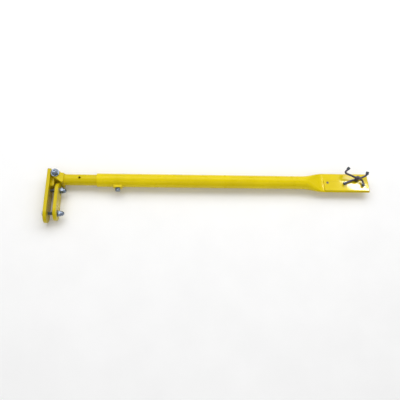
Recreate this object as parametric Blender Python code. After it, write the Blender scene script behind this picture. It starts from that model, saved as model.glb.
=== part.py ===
"""Aircraft tow bar.

A 50 mm steel tube, pressed flat at its hitch end, with a smaller tube that slides in its mouth.
The sliding tube carries a fork, and a clamp head with two jaws swivels on the fork's pivot bolt.
Two crossed hooks turn on a stud in the flat end.

Dimensions are millimetres. X runs along the bar from the pivot bolt to the hitch end, Y points
away from the jaws, and Z is up. Heights are measured from the axis of the tubes, until the last
step stands the bar on the ground with its origin under the middle of its bounding box.
"""
import math

import bmesh
import bpy
from mathutils import Matrix, Vector

MM = 0.001
GAP = 0.3            # clearance left between pieces that touch
MERGE = 0.0001       # merge distance, metres
CUT_MARGIN = 3.0     # how far a cutter runs past the face that it cuts
FLUSH_SINK = 0.2     # how far a countersunk head lies below its face

# Tubes
TUBE_OD = 50.0
TUBE_WALL = 3.5
TUBE_MOUTH_X = 148.0
MOUTH_CHAMFER = 1.0
FLARE_START_X = 928.0
FLAT_START_X = 1013.0
FLAT_END_X = 1193.0
FLAT_WIDTH = 79.0
FLAT_THICKNESS = 8.0
FLARE_STEPS = 7
SLIDER_OD = 41.0
SLIDER_WALL = 3.0
SLIDER_END_X = 560.0
PIN_HOLE_X = 86.5
PIN_HOLE_R = 4.5

# Plate on the flat end
DOUBLER_X = (1013.5, 1191.5)
DOUBLER_Y = (-36.0, 7.0)
DOUBLER_THICKNESS = 4.0
RIVET_XY = (1027.5, -2.3)
RIVET_R = 3.0
RIVET_HEAD_R = 5.0

# Lock screw, M12, on the side of the outer tube
LOCK_X = 225.0
LOCK_R = 6.0
BOSS_HALF_BASE = 20.0
BOSS_HALF_TOP = 12.0
BOSS_HALF_HEIGHT = 11.0
BOSS_TOP_Y = -32.0
LOCK_HEAD_AF = 19.0
LOCK_HEAD_HEIGHT = 8.5
PAD_R = 5.0
PAD_LENGTH = 4.2

# Fork and pivot, M14 bolt
PIVOT_Y = 14.0
PIVOT_R = 7.0
FORK_LEG = 8.0
FORK_HALF_HEIGHT = 26.0
FORK_NOSE_R = 15.2
FORK_WEB_X = (22.0, 30.0)
FORK_WEB_Y = (-20.0, 16.0)
COUNTERSINK_R = 13.0
COUNTERSINK_DEPTH = 7.0
PIVOT_WASHER_R = 15.0
PIVOT_WASHER_THICKNESS = 3.0
PIVOT_NUT_AF = 22.0
PIVOT_NUT_HEIGHT = 13.0
PIVOT_END = 2.5
BUSH_WALL = 2.4

# Clamp head
KNUCKLE_R = 14.0
WEDGE_HALF_HEIGHT = 12.0
WEDGE_TIP_X = -4.0
WEDGE_END_Y = -31.0
JAW_THICKNESS = 12.0
JAW_HALF_HEIGHT = 32.5
FIXED_JAW_X = -15.6           # clamping face of the fixed jaw
FIXED_JAW_TOP_Y = 33.0
FIXED_JAW_TOP_CORNER = 9.0
FIXED_JAW_ROUND_Y = -137.0    # centre of its round end
MOVING_JAW_X = 5.3            # clamping face of the moving jaw
MOVING_JAW_ROUND_Y = (-52.0, -128.0)
CLAMP_UPPER_Y = -45.0
CLAMP_LOWER_Y = -135.0
CLAMP_R = 6.0
CLAMP_END_X = 28.0
CLAMP_HEAD_HEIGHT = 7.5
CLAMP_AF = 18.5
CLAMP_WASHER_R = 12.0
CLAMP_WASHER_THICKNESS = 2.2
CAP_NUT_HEX = 10.0
CAP_NUT_LENGTH = 21.0
CAP_NUT_DEPTH = 16.5
CAP_NUT_DOME_R = 8.6

# Crossed hooks on the flat end, on an M6 stud
HOOK_XY = (1144.0, 11.0)
HOOK_ROD_R = 3.7
HOOK_SLEEVE_R = 6.0
HOOK_SLEEVE_FIT = 1.0
HOOK_EYE_R = 8.0
HOOK_EYE_HEIGHT = 8.0
HOOK_SPACER_HEIGHT = 4.0
STUD_R = 3.0
STUD_HEAD_R = 6.5
STUD_NUT_AF = 10.0
STUD_NUT_HEIGHT = 5.0

# Guide on the inner end of the sliding tube
GUIDE_LENGTH = 28.0
PLUG_CAP_LENGTH = 5.0
PLUG_SPIGOT_LENGTH = 20.0

ROUND_SIDES = 36     # sides of the tubes, even
TURNED_SIDES = 24    # sides of turned pieces

TUBE_R = TUBE_OD / 2
SLIDER_R = SLIDER_OD / 2
FLAT_HALF = FLAT_THICKNESS / 2
PIVOT = Vector((0.0, PIVOT_Y, 0.0))
HOOK_STUD = Vector((HOOK_XY[0], HOOK_XY[1], 0.0))


# ---------------------------------------------------------------- scene and materials

def clear_scene():
    """Remove every object that the file opened with."""
    for item in list(bpy.data.objects):
        bpy.data.objects.remove(item, do_unlink=True)


def make_material(name, colour, roughness, metallic):
    """A Principled material of one finish."""
    material = bpy.data.materials.new(name)
    material.use_nodes = True
    shader = material.node_tree.nodes["Principled BSDF"]
    shader.inputs["Base Color"].default_value = (*colour, 1.0)
    shader.inputs["Roughness"].default_value = roughness
    shader.inputs["Metallic"].default_value = metallic
    return material


def add_empty(name, location, parent=None):
    """An empty that marks a body's reference point, in millimetres from its parent's frame."""
    empty = bpy.data.objects.new(name, None)
    bpy.context.scene.collection.objects.link(empty)
    empty.location = Vector(location) * MM
    empty.parent = parent
    return empty


# ---------------------------------------------------------------- mesh builders

def link_mesh(name, mesh_bm, material, body):
    """Turn a bmesh in bar coordinates into an object that hangs on its body's empty."""
    bmesh.ops.remove_doubles(mesh_bm, verts=mesh_bm.verts, dist=MERGE * 10)
    bmesh.ops.recalc_face_normals(mesh_bm, faces=mesh_bm.faces)
    bmesh.ops.scale(mesh_bm, vec=(MM, MM, MM), verts=mesh_bm.verts)
    bmesh.ops.translate(mesh_bm, vec=-body.location, verts=mesh_bm.verts)
    mesh = bpy.data.meshes.new(name)
    mesh_bm.to_mesh(mesh)
    mesh_bm.free()
    mesh.shade_smooth()
    mesh.set_sharp_from_angle(angle=math.radians(32))
    item = bpy.data.objects.new(name, mesh)
    bpy.context.scene.collection.objects.link(item)
    item.parent = body
    if material is not None:
        mesh.materials.append(material)
    return item


def bridge(mesh_bm, ring_a, ring_b):
    """Join two rings of the same number of vertices with quads."""
    count = len(ring_a)
    for i in range(count):
        j = (i + 1) % count
        mesh_bm.faces.new((ring_a[i], ring_a[j], ring_b[j], ring_b[i]))


def turned(profile, sides=TURNED_SIDES, hollow=False):
    """Solid of revolution about Z from (radius, z) points; hollow closes the profile into a ring."""
    mesh_bm = bmesh.new()
    rings = []
    for radius, height in profile:
        angles = [2 * math.pi * i / sides for i in range(sides)]
        spots = [(radius * math.cos(a), radius * math.sin(a), height) for a in angles]
        rings.append([mesh_bm.verts.new(spot) for spot in spots])
    for ring_a, ring_b in zip(rings, rings[1:]):
        bridge(mesh_bm, ring_a, ring_b)
    if hollow:
        bridge(mesh_bm, rings[-1], rings[0])
    else:
        mesh_bm.faces.new(rings[0])
        mesh_bm.faces.new(rings[-1])
    return mesh_bm


def rod_profile(radius, low, high, chamfer=0.8):
    """Profile of a plain shaft with a chamfer at each end."""
    return [(radius - chamfer, low), (radius, low + chamfer), (radius, high - chamfer), (radius - chamfer, high)]


def sleeve(inner, outer, low, high, chamfer=0.4, sides=TURNED_SIDES):
    """A washer, bush or tube about Z."""
    profile = [(inner, low), (outer - chamfer, low), (outer, low + chamfer),
               (outer, high - chamfer), (outer - chamfer, high), (inner, high)]
    return turned(profile, sides, hollow=True)


def prism(outline, low, high):
    """Extrude a closed outline of (x, y) points along Z."""
    mesh_bm = bmesh.new()
    bottom = [mesh_bm.verts.new((x, y, low)) for x, y in outline]
    top = [mesh_bm.verts.new((x, y, high)) for x, y in outline]
    bridge(mesh_bm, bottom, top)
    mesh_bm.faces.new(bottom)
    mesh_bm.faces.new(top)
    return mesh_bm


def box(low, high):
    """A block between two corners."""
    outline = [(low[0], low[1]), (high[0], low[1]), (high[0], high[1]), (low[0], high[1])]
    return prism(outline, low[2], high[2])


def hexagon(across_flats, low, high, chamfer=0.9, bore=None):
    """A bolt head or nut about Z with its corners turned off at both ends."""
    corner = across_flats / math.sqrt(3)
    mesh_bm = bmesh.new()
    rings = []
    for inset, height in ((chamfer, low), (0, low + chamfer * 0.6), (0, high - chamfer * 0.6), (chamfer, high)):
        ring = []
        for i in range(12):
            angle = math.radians(30 * i)
            flat = across_flats / 2 / math.cos(math.radians(30 if i % 2 == 0 else 0))
            radius = min(flat, corner - inset) if i % 2 == 0 else flat - inset * 0.3
            ring.append(mesh_bm.verts.new((radius * math.cos(angle), radius * math.sin(angle), height)))
        rings.append(ring)
    for ring_a, ring_b in zip(rings, rings[1:]):
        bridge(mesh_bm, ring_a, ring_b)
    if bore is None:
        mesh_bm.faces.new(rings[0])
        mesh_bm.faces.new(rings[-1])
        return mesh_bm
    holes = []
    for height in (low, high):
        spots = [(bore * math.cos(math.radians(30 * i)), bore * math.sin(math.radians(30 * i)), height)
                 for i in range(12)]
        holes.append([mesh_bm.verts.new(spot) for spot in spots])
    bridge(mesh_bm, rings[-1], holes[1])
    bridge(mesh_bm, holes[1], holes[0])
    bridge(mesh_bm, holes[0], rings[0])
    return mesh_bm


def turn_to(mesh_bm, axis, spot=(0.0, 0.0, 0.0)):
    """Turn a piece built about +Z so that it points along axis, and move it to spot."""
    turn = Vector((0, 0, 1)).rotation_difference(Vector(axis)).to_matrix().to_4x4()
    bmesh.ops.transform(mesh_bm, matrix=Matrix.Translation(Vector(spot)) @ turn, verts=mesh_bm.verts)
    return mesh_bm


def arc(centre, radius, start, end, steps):
    """Points on an arc, angles in degrees, both ends included."""
    angles = [math.radians(start + (end - start) * i / steps) for i in range(steps + 1)]
    return [(centre[0] + radius * math.cos(a), centre[1] + radius * math.sin(a)) for a in angles]


def boolean(target, tool_bm, name, operation, body):
    """Cut a tool from the target, or join it on."""
    tool = link_mesh(name, tool_bm, None, body)
    tool.hide_render = True
    tool.display_type = "WIRE"
    step = target.modifiers.new(name, "BOOLEAN")
    step.operation = operation
    step.solver = "EXACT"
    step.object = tool


def cut(target, tool_bm, name, body):
    boolean(target, tool_bm, name, "DIFFERENCE", body)


def join(target, tool_bm, name, body):
    boolean(target, tool_bm, name, "UNION", body)


def smooth_path(points, steps):
    """Points on a Catmull-Rom curve through the given points."""
    spots = [Vector(p) for p in points]
    spots = [spots[0] * 2 - spots[1], *spots, spots[-1] * 2 - spots[-2]]
    path = []
    for a, b, c, d in zip(spots, spots[1:], spots[2:], spots[3:]):
        for i in range(steps):
            t = i / steps
            path.append(0.5 * ((2 * b) + (c - a) * t + (2 * a - 5 * b + 4 * c - d) * t * t
                               + (3 * b - a - 3 * c + d) * t ** 3))
    path.append(spots[-2])
    return path


def swept(path, radii, sides=10):
    """A round bar along a path, with one radius for each point."""
    mesh_bm = bmesh.new()
    ahead = (path[1] - path[0]).normalized()
    across = ahead.cross(Vector((0, 0, 1))).normalized()
    rings = []
    for i, spot in enumerate(path):
        behind = path[max(i - 1, 0)]
        beyond = path[min(i + 1, len(path) - 1)]
        ahead = (beyond - behind).normalized()
        across = (across - ahead * across.dot(ahead)).normalized()
        up = ahead.cross(across)
        ring = []
        for k in range(sides):
            angle = 2 * math.pi * k / sides
            ring.append(mesh_bm.verts.new(spot + (across * math.cos(angle) + up * math.sin(angle)) * radii[i]))
        rings.append(ring)
    for ring_a, ring_b in zip(rings, rings[1:]):
        bridge(mesh_bm, ring_a, ring_b)
    mesh_bm.faces.new(rings[0])
    mesh_bm.faces.new(rings[-1])
    return mesh_bm


def countersink(radius, mouth, start, face):
    """Cutter for a hole that opens at 45 degrees to reach its mouth radius at the face."""
    return turned([(radius, start), (radius, face - (mouth - radius)), (mouth + CUT_MARGIN, face + CUT_MARGIN)])


def flush_head(radius, mouth, face):
    """Profile of a countersunk head that lies just below the face, from its rim to its shank."""
    rim = mouth - GAP
    return [(rim, face - FLUSH_SINK), (radius, face - FLUSH_SINK - (rim - radius))]


# ---------------------------------------------------------------- outer tube and its flat end

def press(station):
    """Half height of the outer tube's section: round up to the flare, then eased down to the flat."""
    share = (station - FLARE_START_X) / (FLAT_START_X - FLARE_START_X)
    share = min(max(share, 0.0), 1.0)
    eased = share * share * (3 - 2 * share)
    return TUBE_R + (FLAT_HALF - TUBE_R) * eased


def tube_section(station, inset):
    """Ring of (y, z) points: two half circles joined by flats that widen as the tube is pressed."""
    half_height = press(station)
    straight = (FLAT_WIDTH / 2 - FLAT_HALF) * (TUBE_R - half_height) / (TUBE_R - FLAT_HALF)
    radius = half_height - inset
    half = ROUND_SIDES // 2
    ring = []
    for side in (1, -1):
        for i in range(half):
            angle = math.pi * (i + 0.5) / half - math.pi / 2
            ring.append((side * (straight + radius * math.cos(angle)), side * radius * math.sin(angle)))
    return ring


def make_outer_tube(body, paint):
    flare = [FLARE_START_X + (FLAT_START_X - FLARE_START_X) * i / FLARE_STEPS for i in range(FLARE_STEPS + 1)]
    outside = [(TUBE_MOUTH_X, MOUTH_CHAMFER), (TUBE_MOUTH_X + MOUTH_CHAMFER, 0.0)]
    outside += [(station, 0.0) for station in flare]
    outside += [(FLAT_END_X - MOUTH_CHAMFER, 0.0), (FLAT_END_X, MOUTH_CHAMFER)]
    inside = [(station, TUBE_WALL) for station in flare if press(station) > 2 * TUBE_WALL]
    inside = inside[::-1] + [(TUBE_MOUTH_X, TUBE_WALL)]
    mesh_bm = bmesh.new()
    rings = []
    for station, inset in inside + outside:
        rings.append([mesh_bm.verts.new((station, y, z)) for y, z in tube_section(station, inset)])
    for ring_a, ring_b in zip(rings, rings[1:]):
        bridge(mesh_bm, ring_a, ring_b)
    mesh_bm.faces.new(rings[0])
    mesh_bm.faces.new(rings[-1])
    tube = link_mesh("outer_tube", mesh_bm, paint, body)
    hole = turned(rod_profile(LOCK_R + GAP, 0, 20), TURNED_SIDES)
    cut(tube, turn_to(hole, (0, 1, 0), (LOCK_X, -TUBE_R - CUT_MARGIN, 0)), "lock_hole_cutter", body)
    start = -FLAT_HALF - CUT_MARGIN
    hole = countersink(RIVET_R + GAP, RIVET_HEAD_R + GAP, start, FLAT_HALF)
    cut(tube, turn_to(hole, (0, 0, -1), (*RIVET_XY, 0)), "rivet_hole_cutter", body)
    hole = countersink(STUD_R + GAP, STUD_HEAD_R + GAP, start, FLAT_HALF)
    cut(tube, turn_to(hole, (0, 0, -1), (*HOOK_XY, 0)), "stud_hole_cutter", body)


def make_doubler(body, paint, zinc):
    low = FLAT_HALF + GAP
    high = low + DOUBLER_THICKNESS
    corner = 3.0
    x0, x1 = DOUBLER_X
    y0, y1 = DOUBLER_Y
    outline = arc((x1 - corner, y0 + corner), corner, -90, 0, 3)
    outline += arc((x1 - corner, y1 - corner), corner, 0, 90, 3)
    outline += arc((x0 + corner, y1 - corner), corner, 90, 180, 3)
    outline += arc((x0 + corner, y0 + corner), corner, 180, 270, 3)
    plate = link_mesh("doubler_plate", prism(outline, low, high), paint, body)
    hole = countersink(RIVET_R + GAP, RIVET_HEAD_R + GAP, low - CUT_MARGIN, high)
    cut(plate, turn_to(hole, (0, 0, 1), (*RIVET_XY, 0)), "doubler_rivet_cutter", body)
    seat = turned(rod_profile(HOOK_EYE_R + 2, low - CUT_MARGIN, high + CUT_MARGIN))
    cut(plate, turn_to(seat, (0, 0, 1), (*HOOK_XY, 0)), "doubler_stud_cutter", body)
    lower_head = [(radius, -height) for radius, height in flush_head(RIVET_R, RIVET_HEAD_R, FLAT_HALF)]
    profile = lower_head + flush_head(RIVET_R, RIVET_HEAD_R, high)[::-1]
    link_mesh("doubler_rivet", turn_to(turned(profile, 16), (0, 0, 1), (*RIVET_XY, 0)), zinc, body)


# ---------------------------------------------------------------- lock screw

def make_lock(bar, pad_body, screw_body, paint, zinc, brass):
    base = -TUBE_R + 6.0
    outline = [(LOCK_X - BOSS_HALF_BASE, base), (LOCK_X - BOSS_HALF_BASE, -TUBE_R + 1.0),
               (LOCK_X - BOSS_HALF_TOP, BOSS_TOP_Y), (LOCK_X + BOSS_HALF_TOP, BOSS_TOP_Y),
               (LOCK_X + BOSS_HALF_BASE, -TUBE_R + 1.0), (LOCK_X + BOSS_HALF_BASE, base)]
    boss = link_mesh("lock_boss", prism(outline, -BOSS_HALF_HEIGHT, BOSS_HALF_HEIGHT), paint, bar)
    reach = BOSS_HALF_BASE + CUT_MARGIN
    saddle = turned(rod_profile(TUBE_R + GAP, -reach, reach), 48)
    cut(boss, turn_to(saddle, (1, 0, 0), (LOCK_X, 0, 0)), "boss_saddle_cutter", bar)
    bore = turned(rod_profile(LOCK_R + GAP, 0, 25))
    cut(boss, turn_to(bore, (0, -1, 0), (LOCK_X, -TUBE_R + 10.0, 0)), "boss_bore_cutter", bar)

    pad_start = SLIDER_R + GAP
    pad = turned(rod_profile(PAD_R, pad_start, pad_start + PAD_LENGTH, 0.5))
    link_mesh("lock_pad", turn_to(pad, (0, -1, 0), (LOCK_X, 0, 0)), brass, pad_body)
    tip = pad_start + PAD_LENGTH + GAP
    head = -BOSS_TOP_Y + 2.0
    screw = turned([(LOCK_R - 1.0, tip), (LOCK_R, tip + 1.0), (LOCK_R, head), (LOCK_R, head + 1.0)])
    screw = link_mesh("lock_screw", turn_to(screw, (0, -1, 0), (LOCK_X, 0, 0)), zinc, screw_body)
    cap = hexagon(LOCK_HEAD_AF, head, head + LOCK_HEAD_HEIGHT)
    join(screw, turn_to(cap, (0, -1, 0), (LOCK_X, 0, 0)), "lock_head_tool", screw_body)


# ---------------------------------------------------------------- sliding tube and fork

def make_slider(arm, guide, paint, nylon):
    start = FORK_WEB_X[1] + GAP
    tube = sleeve(SLIDER_R - SLIDER_WALL, SLIDER_R, start, SLIDER_END_X, 0.6, ROUND_SIDES)
    tube = link_mesh("inner_tube", turn_to(tube, (1, 0, 0)), paint, arm)
    reach = SLIDER_R + CUT_MARGIN
    cut(tube, turn_to(turned(rod_profile(PIN_HOLE_R, -reach, reach), 16), (0, 0, 1), (PIN_HOLE_X, 0, 0)),
        "pin_hole_cutter", arm)

    bore = SLIDER_R - SLIDER_WALL - GAP
    cap = SLIDER_END_X + GAP
    plug = turned([(bore - 2, cap - PLUG_SPIGOT_LENGTH), (bore, cap - PLUG_SPIGOT_LENGTH + 2), (bore, cap),
                   (SLIDER_R - 4, cap), (SLIDER_R - 4, cap + PLUG_CAP_LENGTH + GUIDE_LENGTH)], ROUND_SIDES)
    link_mesh("end_plug", turn_to(plug, (1, 0, 0)), nylon, guide)
    inner = SLIDER_R - 4 + GAP
    outer = TUBE_R - TUBE_WALL - GAP
    bush = sleeve(inner, outer, cap + GAP, cap + GUIDE_LENGTH, 1.0, ROUND_SIDES)
    link_mesh("guide_bush", turn_to(bush, (1, 0, 0)), nylon, guide)


def tangent_angle(point, centre, radius, side):
    """Angle in degrees at which a line from the point touches a circle, on one side (1) or the other (-1)."""
    away = Vector(point) - Vector(centre)
    return math.degrees(math.atan2(away.y, away.x) + side * math.acos(radius / away.length))


def make_fork(arm, paint, zinc):
    web_x0, web_x1 = FORK_WEB_X
    web_y0, web_y1 = FORK_WEB_Y
    start = tangent_angle((web_x0, web_y1), (0, PIVOT_Y), FORK_NOSE_R, 1)
    end = tangent_angle((web_x0, web_y0), (0, PIVOT_Y), FORK_NOSE_R, -1)
    outline = arc((0, PIVOT_Y), FORK_NOSE_R, start, end + 360, 14)
    outline += [(web_x0, web_y0), (web_x1, web_y0), (web_x1, web_y1), (web_x0, web_y1)]
    fork = link_mesh("fork_bracket", prism(outline, -FORK_HALF_HEIGHT, FORK_HALF_HEIGHT), paint, arm)
    slot = FORK_HALF_HEIGHT - FORK_LEG
    cut(fork, box((-60, -60, -slot), (web_x0, 60, slot)), "fork_slot_cutter", arm)
    low = -FORK_HALF_HEIGHT
    hole = turned([(COUNTERSINK_R + GAP + 1, low - 1), (PIVOT_R + GAP, low + COUNTERSINK_DEPTH),
                   (PIVOT_R + GAP, FORK_HALF_HEIGHT + CUT_MARGIN)])
    cut(fork, turn_to(hole, (0, 0, 1), PIVOT), "fork_hole_cutter", arm)

    washer_low = FORK_HALF_HEIGHT + GAP
    nut_low = washer_low + PIVOT_WASHER_THICKNESS + GAP
    nut_high = nut_low + PIVOT_NUT_HEIGHT
    bolt = turned([(COUNTERSINK_R - 0.6, low + 0.3), (COUNTERSINK_R - 0.6, low + 0.8),
                   (PIVOT_R, low + COUNTERSINK_DEPTH), (PIVOT_R, nut_high + PIVOT_END - 1),
                   (PIVOT_R - 1, nut_high + PIVOT_END)])
    link_mesh("pivot_bolt", turn_to(bolt, (0, 0, 1), PIVOT), zinc, arm)
    washer = sleeve(PIVOT_R + GAP, PIVOT_WASHER_R, washer_low, washer_low + PIVOT_WASHER_THICKNESS)
    link_mesh("pivot_washer", turn_to(washer, (0, 0, 1), PIVOT), zinc, arm)
    nut = hexagon(PIVOT_NUT_AF, nut_low, nut_high, 1.0, PIVOT_R + GAP)
    link_mesh("pivot_nut", turn_to(nut, (0, 0, 1), PIVOT), zinc, arm)


# ---------------------------------------------------------------- clamp head

def make_knuckle(head, paint, bronze):
    top = FORK_HALF_HEIGHT - FORK_LEG - GAP
    barrel = turned(rod_profile(KNUCKLE_R, -top, top, 0.6))
    knuckle = link_mesh("knuckle", turn_to(barrel, (0, 0, 1), PIVOT), paint, head)
    wall = FIXED_JAW_X + GAP
    tip = 5.0
    outline = [(wall, PIVOT_Y + 10), (wall, WEDGE_END_Y)]
    outline += arc((WEDGE_TIP_X - tip, WEDGE_END_Y + tip), tip, -90, 0, 4)
    outline += [(WEDGE_TIP_X, PIVOT_Y - 18), (WEDGE_TIP_X + 8, PIVOT_Y - 6), (0, PIVOT_Y + 10)]
    join(knuckle, prism(outline, -WEDGE_HALF_HEIGHT, WEDGE_HALF_HEIGHT), "knuckle_wedge_tool", head)
    bore = turned(rod_profile(PIVOT_R + BUSH_WALL + 2 * GAP, -top - CUT_MARGIN, top + CUT_MARGIN))
    cut(knuckle, turn_to(bore, (0, 0, 1), PIVOT), "knuckle_bore_cutter", head)
    bush = sleeve(PIVOT_R + GAP, PIVOT_R + GAP + BUSH_WALL, -top, top)
    link_mesh("pivot_bush", turn_to(bush, (0, 0, 1), PIVOT), bronze, head)


def jaw_plate(name, face_x, outline, holes, paint, body):
    """A jaw: an outline of (y, z) points, extruded along X from face_x, with holes for the clamp bolts."""
    plate = prism([(z, y) for y, z in outline], face_x, face_x + JAW_THICKNESS)
    swap = Matrix(((0, 0, 1, 0), (0, 1, 0, 0), (1, 0, 0, 0), (0, 0, 0, 1)))
    bmesh.ops.transform(plate, matrix=swap, verts=plate.verts)
    jaw = link_mesh(name, plate, paint, body)
    for label, y, radius in holes:
        hole = turned(rod_profile(radius, face_x - CUT_MARGIN, face_x + JAW_THICKNESS + CUT_MARGIN))
        cut(jaw, turn_to(hole, (1, 0, 0), (0, y, 0)), f"{name}_{label}_cutter", body)


def make_jaws(head, jaw, paint):
    half = JAW_HALF_HEIGHT
    corner = FIXED_JAW_TOP_CORNER
    outline = arc((FIXED_JAW_TOP_Y - corner, half - corner), corner, 0, 90, 4)
    outline += arc((FIXED_JAW_ROUND_Y, 0), half, 90, 270, 20)
    outline += arc((FIXED_JAW_TOP_Y - corner, corner - half), corner, -90, 0, 4)
    holes = [("upper", CLAMP_UPPER_Y, CLAMP_R + GAP), ("lower", CLAMP_LOWER_Y, CLAMP_R + GAP)]
    jaw_plate("fixed_jaw", FIXED_JAW_X - JAW_THICKNESS, outline, holes, paint, head)
    upper_y, lower_y = MOVING_JAW_ROUND_Y
    outline = arc((upper_y, 0), half, -90, 90, 20) + arc((lower_y, 0), half, 90, 270, 20)
    holes = [("upper", CLAMP_UPPER_Y, CLAMP_R + 2 * GAP), ("lower", CLAMP_LOWER_Y, CLAMP_R + 2 * GAP)]
    jaw_plate("moving_jaw", MOVING_JAW_X, outline, holes, paint, jaw)


def make_clamp(label, y, head, jaw, nut_body, zinc, has_head):
    """A bolt or stud through both jaws, with a washer and a domed cap nut outside the moving jaw."""
    along = (1, 0, 0)
    spot = (0, y, 0)
    outside = FIXED_JAW_X - JAW_THICKNESS
    start = outside - GAP if has_head else outside + 0.5
    shaft = turned(rod_profile(CLAMP_R, start, CLAMP_END_X))
    shaft = link_mesh(f"clamp_bolt_{label}", turn_to(shaft, along, spot), zinc, head)
    if has_head:
        top = hexagon(CLAMP_AF, start - CLAMP_HEAD_HEIGHT, start + 0.01)
        join(shaft, turn_to(top, along, spot), f"clamp_head_{label}_tool", head)
    washer_low = MOVING_JAW_X + JAW_THICKNESS + GAP
    washer_high = washer_low + CLAMP_WASHER_THICKNESS
    ring = sleeve(CLAMP_R + GAP, CLAMP_WASHER_R, washer_low, washer_high)
    link_mesh(f"nut_washer_{label}", turn_to(ring, along, spot), zinc, jaw)
    face = washer_high + GAP
    nut = link_mesh(f"clamp_nut_{label}", turn_to(hexagon(CLAMP_AF, face, face + CAP_NUT_HEX), along, spot),
                    zinc, nut_body)
    crown = face + CAP_NUT_LENGTH - CAP_NUT_DOME_R
    dome = [(CAP_NUT_DOME_R, face + CAP_NUT_HEX - 1.0)]
    dome += [(CAP_NUT_DOME_R * math.cos(math.radians(t)), crown + CAP_NUT_DOME_R * math.sin(math.radians(t)))
             for t in (0, 22, 44, 64, 80)]
    join(nut, turn_to(turned(dome), along, spot), f"cap_dome_{label}_tool", nut_body)
    bore = turned(rod_profile(CLAMP_R + GAP, face - CUT_MARGIN, face + CAP_NUT_DEPTH))
    cut(nut, turn_to(bore, along, spot), f"cap_bore_{label}_cutter", nut_body)


# ---------------------------------------------------------------- crossed hooks

def make_hook_stud(bar, zinc, steel):
    base = FLAT_HALF + GAP
    spot = HOOK_STUD
    spacer = sleeve(STUD_R + GAP, HOOK_EYE_R, base, eye_level(0) - GAP)
    link_mesh("hook_spacer", turn_to(spacer, (0, 0, 1), spot), zinc, bar)
    nut_low = eye_level(1) + HOOK_EYE_HEIGHT + GAP
    nut_high = nut_low + STUD_NUT_HEIGHT
    profile = [(radius, -height) for radius, height in flush_head(STUD_R, STUD_HEAD_R, FLAT_HALF)]
    profile += [(STUD_R, nut_high + 1.0), (STUD_R - 1.0, nut_high + 2.0)]
    link_mesh("hook_stud", turn_to(turned(profile), (0, 0, 1), spot), zinc, bar)
    nut = hexagon(STUD_NUT_AF, nut_low, nut_high, 0.9, STUD_R + GAP)
    link_mesh("hook_nut", turn_to(nut, (0, 0, 1), spot), steel, bar)


def eye_level(index):
    """Underside of a hook's eye: the first lies on the spacer and the second on the first."""
    return FLAT_HALF + DOUBLER_THICKNESS + HOOK_SPACER_HEIGHT + index * (HOOK_EYE_HEIGHT + GAP)


def make_hook(name, route, level, body, steel, rubber):
    """A bent rod with an eye at its middle and a sleeve on each end."""
    path = smooth_path(route, 4)
    rod = link_mesh(name, swept(path, [HOOK_ROD_R] * len(path)), steel, body)
    eye = turned(rod_profile(HOOK_EYE_R, level, level + HOOK_EYE_HEIGHT, 0.5))
    join(rod, turn_to(eye, (0, 0, 1), HOOK_STUD), f"{name}_eye_tool", body)
    bore = turned(rod_profile(STUD_R + GAP, level - 10, level + HOOK_EYE_HEIGHT + 10))
    cut(rod, turn_to(bore, (0, 0, 1), HOOK_STUD), f"{name}_bore_cutter", body)
    ends = (("start", path[0], path[3]), ("end", path[-1], path[-4]))
    for label, tip, inner in ends:
        outward = (tip - inner).normalized()
        mouth = (tip - inner).length + 2.0
        inside = HOOK_ROD_R + HOOK_SLEEVE_FIT
        tip_sleeve = turned([(inside, -mouth), (HOOK_SLEEVE_R - 0.4, -mouth), (HOOK_SLEEVE_R, -mouth + 0.8),
                             (HOOK_SLEEVE_R, 1.2), (HOOK_SLEEVE_R - 1.2, 2.4), (0.6, 2.4), (0.6, GAP),
                             (inside, GAP)], 14, hollow=True)
        link_mesh(f"{name}_sleeve_{label}", turn_to(tip_sleeve, outward, tip), rubber, body)


def make_hooks(bar, hook_a, hook_b, zinc, steel, rubber):
    make_hook_stud(bar, zinc, steel)
    centre = HOOK_EYE_HEIGHT / 2
    low = eye_level(0) + centre
    high = eye_level(1) + centre
    x, y = HOOK_XY
    route_b = [(1090.0, -9.5, low), (1098.0, -6.0, low), (1118.0, 2.0, low), (x, y, low),
               (1163.0, 16.5, low + 1), (1176.0, 20.5, low + 7), (1182.0, 24.5, low + 13),
               (1183.0, 31.0, low + 19)]
    make_hook("hook_b", route_b, eye_level(0), hook_b, steel, rubber)
    route_a = [(1165.0, -17.0, low), (1166.5, -9.0, low), (1164.0, 0.5, low + 3), (1156.0, 6.0, high),
               (x, y, high), (1132.0, 15.5, high), (1117.0, 22.0, high + 2), (1101.0, 27.0, high + 5),
               (1096.5, 33.0, high + 8), (1104.0, 41.0, high + 13), (1109.0, 46.0, high + 16)]
    make_hook("hook_a", route_a, eye_level(1), hook_a, steel, rubber)


# ---------------------------------------------------------------- assembly

def stand_on_ground(root):
    """Move the whole bar so that its lowest face is at z = 0, under the middle of its box."""
    finished = bpy.context.evaluated_depsgraph_get()
    corners = []
    for item in bpy.context.scene.objects:
        if item.type == "MESH" and not item.hide_render:
            corners += [item.matrix_world @ Vector(corner) for corner in item.evaluated_get(finished).bound_box]
    low = [min(corner[i] for corner in corners) for i in range(3)]
    high = [max(corner[i] for corner in corners) for i in range(3)]
    root.location = (-(low[0] + high[0]) / 2, -(low[1] + high[1]) / 2, -low[2])


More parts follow.
